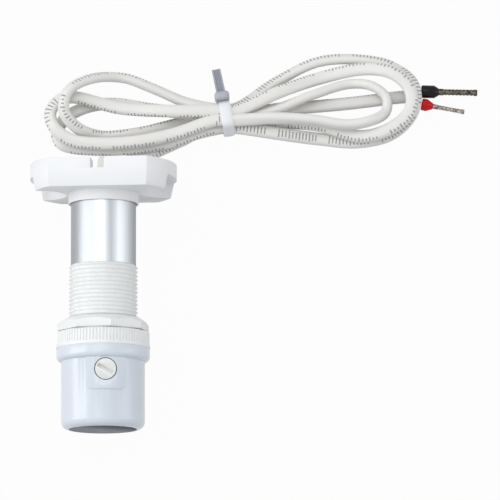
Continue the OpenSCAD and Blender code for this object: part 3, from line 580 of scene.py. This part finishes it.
# %% Materials for the pins
STAIN_SCALE, STAIN_DETAIL = 900.0, 4.0
DARK_AT, LIGHT_AT = 0.3, 0.75


def tinned_material(name, dark, light):
    material, tree, surface = new_material(name)
    stain = noise(tree, place_on_piece(tree), STAIN_SCALE, STAIN_DETAIL)
    stained = ramp(tree, stain, [(DARK_AT, dark), (LIGHT_AT, light)])
    fill(tree, surface, {"Base Color": stained, "Metallic": 1.0, "Roughness": 0.34,
        "Normal": relief(tree, stain, 0.03)})
    return material


tinned = tinned_material("tinned copper", (0.1, 0.085, 0.075), (0.5, 0.46, 0.42))
tarnished = tinned_material("tarnished copper", (0.008, 0.007, 0.006), (0.2, 0.18, 0.15))
print("pin materials", tinned.name, "and", tarnished.name)

# %% Make the crimped pins
PIN_SIDES, PIN_STEP = 48, 0.12
TIP_ROUND, TIP_SHARE = 0.5, 0.82
CRIMP_FROM, CRIMP_IN, CRIMP_TO, CRIMP_OUT = 1.6, 0.6, 0.9, 0.5
DENT_PITCH, DENT_DEPTH, CRIMP_WAIST = 1.35, 0.2, 0.06


def crimped_pin(name, start, slope, length, radius, node, material):
    """A round pin whose crimped part has rows of dents on four sides."""
    turn = shifted(*start) @ turned_by(slope, "Z")
    rows, points = int(length / PIN_STEP), []
    for i in range(rows + 1):
        s = length * i / rows
        tip = TIP_SHARE + (1 - TIP_SHARE) * clamped((length - s) / TIP_ROUND) ** 0.5
        crimped = clamped((s - CRIMP_FROM) / CRIMP_IN) * clamped((length - CRIMP_TO - s) / CRIMP_OUT)
        for k in range(PIN_SIDES):
            a = 2 * math.pi * k / PIN_SIDES
            # the dents of neighbouring sides alternate
            next_side = math.pi if int(4 * k / PIN_SIDES + 0.5) % 2 else 0
            dent = 0.5 - 0.5 * math.cos(2 * math.pi * s / DENT_PITCH + next_side)
            r = radius * tip * (1 - crimped * (CRIMP_WAIST + DENT_DEPTH * dent * abs(math.cos(2 * a))))
            points.append(turn @ (Vector((s, r * math.cos(a), r * math.sin(a))) * MM))
    piece = make_piece(name, points, ring_faces(rows + 1, PIN_SIDES), material, smooth=50)
    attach(piece, "root")
    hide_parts(node)
    return piece


black_pin = crimped_pin("black_ferrule_pin", start=(124, 81.1, 2.4), slope=-1.5, length=14.4, radius=1.25,
    node="black_pin", material=tarnished)
red_pin = crimped_pin("red_ferrule_pin", start=(121.9, 75.6, 2.25), slope=-11, length=11.8, radius=0.9,
    node="red_pin", material=tinned)
print("pins", len(black_pin.data.polygons) + len(red_pin.data.polygons), "faces")

# %% [markdown]
# ## Soften the moulded edges
# A moulded edge is never knife sharp, and the thin bright line along it is what makes a plain solid
# look real. The CAD solids keep their exact meshes, so each piece here is a copy of one: flat areas are
# merged first, then the edges get a narrow round.

# %% Copy a CAD piece and round its edges
FLAT_ANGLE, EDGE_ANGLE, EDGE_STEPS = math.radians(0.4), math.radians(32), 2


def softened(node, name, material, width, body="root"):
    """A copy of a CAD node with its edges rounded over width, in millimetres, which takes its place."""
    mesh = nodes[node].data.copy()
    piece = bpy.data.objects.new(name, mesh)
    scene.collection.objects.link(piece)
    bm = bmesh.new()
    bm.from_mesh(mesh)
    bmesh.ops.remove_doubles(bm, verts=bm.verts, dist=TINY)
    bmesh.ops.dissolve_limit(bm, angle_limit=FLAT_ANGLE, verts=bm.verts, edges=bm.edges)
    for face in bm.faces:
        face.smooth = True
    bm.to_mesh(mesh)
    bm.free()
    mesh.materials.clear()
    mesh.materials.append(material)
    bevel = piece.modifiers.new("bevel", "BEVEL")
    bevel.width, bevel.segments = width * MM, EDGE_STEPS
    bevel.limit_method, bevel.angle_limit = "ANGLE", EDGE_ANGLE
    bevel.harden_normals, bevel.use_clamp_overlap, bevel.miter_outer = True, True, "MITER_ARC"
    dressed = bpy.data.meshes.new_from_object(piece.evaluated_get(bpy.context.evaluated_depsgraph_get()))
    piece.modifiers.clear()
    piece.data = dressed
    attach(piece, body)
    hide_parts(node)
    print(name, len(mesh.polygons), "->", len(dressed.polygons), "faces")
    return piece


softened("mounting_base", "screw_base", base_white, 0.25)
softened("lock_nut", "eight_sided_nut", nut_white, 0.25, "nut")
softened("sensor_cap", "cap_shell", cap_white, 0.15)
softened("adjuster_dial", "slotted_adjuster", dial_white, 0.15, "adjuster")
softened("body_tube", "threaded_tube", tube_white, 0.08)
softened("light_window", "end_window", window_dark, 0.2)
black_sleeve = softened("black_collar", "black_ferrule_collar", collar_black, 0.2)
red_sleeve = softened("red_collar", "red_ferrule_collar", collar_red, 0.2)

# %% [markdown]
# ## The foil label
# The foil is thin silvered film with a satin rolled finish, and it lies in faint flats along the axis,
# which the bumps give. Its reflection and shade are painted into its colour as bands across the tube.

# %% The foil's material, with its reflection painted in
FOIL_R = 11.9
# lighter and darker bands across the foil: painted reflection and shade
FOIL_PAINTED_BAND_PLACES = (0.0, 0.12, 0.26, 0.5, 0.62, 0.74, 0.86, 1.0)
FOIL_PAINTED_REFLECTION = (0.42, 0.4, 0.44, 0.8, 0.52, 0.76, 0.62, 0.3)
FOIL_TINT = (0.9, 0.95, 1.0)
STREAK_SCALE, STREAK_DETAIL, BAND_SCALE, BAND_DETAIL = 1500.0, 3.0, 170.0, 1.0
GRAIN_STRETCH, BAND_DRIFT, BAND_HEIGHT = 0.03, 0.12, 3.0


def painted_reflection_foil():
    material, tree, surface = new_material("label foil with painted reflection")
    place = place_on_piece(tree)
    drawn_out = add(tree, "ShaderNodeMapping", {"Vector": place, "Scale": (1.0, GRAIN_STRETCH, 1.0)})
    streaks = noise(tree, drawn_out.outputs[0], STREAK_SCALE, STREAK_DETAIL)
    bands = noise(tree, drawn_out.outputs[0], BAND_SCALE, BAND_DETAIL)
    across = add(tree, "ShaderNodeSeparateXYZ", {0: place}).outputs["X"]
    place_in = math_node(tree, "MULTIPLY_ADD", across, 1 / (2 * FOIL_R * MM), 0.5)
    painted_band_place = math_node(tree, "MULTIPLY_ADD", math_node(tree, "SUBTRACT", bands, 0.5), BAND_DRIFT, place_in)
    # the ramp paints reflection and shade into the colour, by place across the tube and a little noise
    stops = [(at, [tone * tint for tint in FOIL_TINT]) for at, tone in zip(FOIL_PAINTED_BAND_PLACES, FOIL_PAINTED_REFLECTION)]
    height = math_node(tree, "MULTIPLY_ADD", bands, BAND_HEIGHT, streaks)
    fill(tree, surface, {"Base Color": ramp(tree, painted_band_place, stops), "Metallic": 1.0, "Roughness": 0.46,
        "Normal": relief(tree, height, 0.05)})
    return material


foil = painted_reflection_foil()
print("foil tones", len(FOIL_PAINTED_REFLECTION))

# %% [markdown]
# ## Dress the CAD pieces that keep their shape
# Rings, cores and the boards inside are already the right shape, so they only get their materials.

# %% Give the other nodes their materials
keeps = {"foil_label": foil, "nut_gasket": gasket_gray, "cap_seal": grommet_black, "rear_plug": plug_white,
    "lead_grommet": grommet_black, "trimmer_body": trimmer_blue, "circuit_board": board_green,
    "detector_board": board_green, "light_detector": window_dark, "control_chip": chip_black,
    "voltage_regulator": chip_black, "capacitors": capacitor_blue, "resistors": resistor_dark,
    "black_core_inner": core_black, "red_core_inner": core_red, "black_core_end": core_black,
    "red_core_end": core_red}
for node, material in keeps.items():
    nodes[node].data.materials.clear()
    nodes[node].data.materials.append(material)
print("dressed", len(keeps), "CAD nodes")

# %% [markdown]
# ## The cable tie
# A nylon tie hugs the bundle: its strap follows the outline of the outer strands, runs into a rounded
# head and comes out again as a ridged free end. The strap is pale where light comes through it, and the
# head and the free end are the same nylon with their shade painted in as grey.

# %% The strap's line round the bundle
TIE_SLOPE, TIE_SHIFT = 9, 0.5
tie_turn = shifted(TIE_X + TIE_SHIFT, TIE_Y, 0) @ turned_by(TIE_SLOPE, "Z")
STRAP_T, STRAP_GAP, OUTLINE_STEPS, CORNER_EASE = 0.9, 0.05, 96, 6
outer_slots = (low_far, low_near, mid_far, mid_near, top_far, top_near)
held = [settled(TIE_X, TIE_Y + y, z)[1:] for y, z in outer_slots]


def bundle_outline(offset):
    """The outline of the outer strands, as y and z from the tie's middle."""
    reach, places = JACKET_H / 2 + offset, []
    for i in range(OUTLINE_STEPS):
        a = 2 * math.pi * i / OUTLINE_STEPS
        out_y, out_z = math.cos(a), math.sin(a)
        y, z = max(held, key=lambda s: (s[0] - TIE_Y) * out_y + s[1] * out_z)
        wider = FLAT_HALF * math.tanh(CORNER_EASE * out_y)
        places.append((y - TIE_Y + wider + reach * out_y, z + reach * out_z))
    return places


outline = bundle_outline(STRAP_GAP + STRAP_T / 2)
print("strap's line", len(outline), "points")

# %% The strap
# one side of the strap's section, from its flat inside to its crowned outside
STRAP_SIDE = [(1.9, -0.45), (2.05, -0.3), (2.05, 0.15), (1.7, 0.36), (0.9, 0.47)]
strap_section = STRAP_SIDE + [(0, 0.5)] + [(-x, h) for x, h in reversed(STRAP_SIDE)]
points = []
for i, (y, z) in enumerate(outline):
    before, after = outline[i - 1], outline[(i + 1) % len(outline)]
    along = Vector((0, after[0] - before[0], after[1] - before[1])).normalized()
    out = Vector((0, along.z, -along.y))
    points += [tie_turn @ (Vector((x, y, z)) * MM + out * h * MM) for x, h in strap_section]
strap_faces = ring_faces(len(outline), len(strap_section), looped=True)
strap = make_piece("tie_strap", points, strap_faces, tie_pale, smooth=50)
print("strap", len(strap.data.polygons), "faces")

# %% The head
HEAD_Z, HEAD_HALF_H, HEAD_ROUND = MID_Z, 3, 1.2
HEAD_LOW, HEAD_HIGH = (-3.2, 6.4, HEAD_Z - HEAD_HALF_H), (2.3, 9.9, HEAD_Z + HEAD_HALF_H)


def rounded_block(name, low, high, radius, material, turn):
    """A block from its low to its high corner, with round edges."""
    bm = bmesh.new()
    bmesh.ops.create_cube(bm, size=1.0)
    for v in bm.verts:
        v.co = Vector([(a + b) / 2 + share * (b - a) for a, b, share in zip(low, high, v.co)]) * MM
    bmesh.ops.bevel(bm, geom=bm.edges[:], offset=radius * MM, segments=3, affect="EDGES", profile=0.5)
    mesh = bpy.data.meshes.new(name)
    bm.to_mesh(mesh)
    bm.free()
    mesh.transform(turn)
    return placed_piece(name, mesh, material, smooth=50)


# the head's grey is painted shade
head = rounded_block("tie_head", HEAD_LOW, HEAD_HIGH, HEAD_ROUND, tie_head_painted_shade, tie_turn)
print("head", len(head.data.polygons), "faces")

# %% The free end
TAIL_L, TAIL_W, TAIL_TAPER, TAIL_ROWS, TAIL_UP = 9.2, 3.4, 0.01, 84, 1
RAIL_W, RAIL_H, RAIL_SLOPE = 0.6, 0.95, 0.05
RIDGE_STEP, RIDGE_H, FLOOR_H = 0.75, 0.3, 0.45
TAIL_START, TAIL_SWING, TAIL_RISE = (-0.6, 9.1, HEAD_Z + TAIL_UP), 3, 8
tail_turn = tie_turn @ shifted(*TAIL_START) @ turned_by(TAIL_SWING, "Z") @ turned_by(TAIL_RISE, "X")
points = []
for i in range(TAIL_ROWS + 1):
    s = TAIL_L * i / TAIL_ROWS
    half = TAIL_W / 2 - TAIL_TAPER * s
    ridge = FLOOR_H + RIDGE_H * ((s / RIDGE_STEP) % 1.0)
    right = [(half, 0), (half, RAIL_H), (half - RAIL_W, RAIL_H), (half - RAIL_W - RAIL_SLOPE, ridge)]
    section = right + [(-x, z) for x, z in reversed(right)]
    points += [tail_turn @ (Vector((x, s, z)) * MM) for x, z in section]
tail_faces = ring_faces(TAIL_ROWS + 1, len(section))
# the free end's grey is painted shade
free_end = make_piece("tie_free_end", points, tail_faces, tie_painted_shade, smooth=25)
for piece in (strap, head, free_end):
    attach(piece, "root")
    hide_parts("cable_tie")
print("tie pieces", strap.name, head.name, free_end.name)

# %% [markdown]
# ## The lead's length
# The lead bends, and everything else here is stiff.

print("lead declared,", round(lead_length), "mm")

# %% [markdown]
# ## Table and light
# The photo was taken in a light tent: pure white all round, with soft boxes at the sides that show as
# bright streaks down the cap, and one from above. The table looks white to the camera, and still takes a
# shadow.

# %% The table
WHITE = (1, 1, 1, 1)
TABLE_HALF, WHITE_SHARE = 3, 0.97


def seen_directly(tree):
    """1 for what the camera sees, also by reflection or through glass, and 0 for light that bounces."""
    rays = add(tree, "ShaderNodeLightPath", {}).outputs
    mirrored = math_node(tree, "MAXIMUM", rays["Is Glossy Ray"], rays["Is Transmission Ray"])
    return math_node(tree, "MAXIMUM", rays["Is Camera Ray"], mirrored)


def table_material():
    material, tree, surface = new_material("table paper")
    fill(tree, surface, {"Base Color": (0.4, 0.4, 0.4, 1), "Roughness": 0.9, "Specular IOR Level": 0.1})
    white = add(tree, "ShaderNodeEmission", {"Color": WHITE, "Strength": 1.0})
    share = math_node(tree, "MULTIPLY", seen_directly(tree), WHITE_SHARE)
    mixed = add(tree, "ShaderNodeMixShader", {0: share, 1: surface.outputs[0], 2: white.outputs[0]})
    fill(tree, tree.nodes["Material Output"], {"Surface": mixed.outputs[0]})
    return material


corners = [(x * TABLE_HALF, y * TABLE_HALF, 0) for x, y in ((-1, -1), (1, -1), (1, 1), (-1, 1))]
table = make_piece("table", corners, [(0, 1, 2, 3)], table_material())
print("table", 2 * TABLE_HALF, "m wide")

# %% The surrounding light
WORLD_TINT, WORLD_LIGHT = (0.97, 0.985, 1.0, 1), 0.64
world = scene.world or bpy.data.worlds.new("surroundings")
scene.world = world
world.use_nodes = True
tree = world.node_tree
tree.nodes.clear()
lit = add(tree, "ShaderNodeBackground", {"Color": WORLD_TINT, "Strength": WORLD_LIGHT})
white = add(tree, "ShaderNodeBackground", {"Color": WHITE, "Strength": 1.0})
mixed = add(tree, "ShaderNodeMixShader", {0: seen_directly(tree), 1: lit.outputs[0], 2: white.outputs[0]})
add(tree, "ShaderNodeOutputWorld", {"Surface": mixed.outputs[0]})
print("world light", WORLD_LIGHT)

# %% The lamps
LAMP_AIM = Vector((0.0, 0.0, 0.02))


def soft_box(name, place, size, power):
    """Place and size are in metres here, as the lamps stand well outside the sensor."""
    data = bpy.data.lights.new(name, "AREA")
    data.shape, data.size, data.size_y, data.energy = "RECTANGLE", size[0], size[1], power
    lamp = bpy.data.objects.new(name, data)
    lamp.location = place
    lamp.rotation_euler = (LAMP_AIM - Vector(place)).to_track_quat("-Z", "Y").to_euler()
    scene.collection.objects.link(lamp)


soft_box("left soft box", place=(-1.25, 0.1, 0.62), size=(0.7, 1.1), power=8.0)
soft_box("right soft box", place=(1.35, 0.05, 0.6), size=(0.5, 1.0), power=2.5)
soft_box("top soft box", place=(-0.3, 0.4, 1.9), size=(1.2, 1.2), power=7.5)

# %% [markdown]
# ## The view
# The view transform stays at Standard, at which a colour renders about as it is written.

scene.view_settings.view_transform = "Standard"
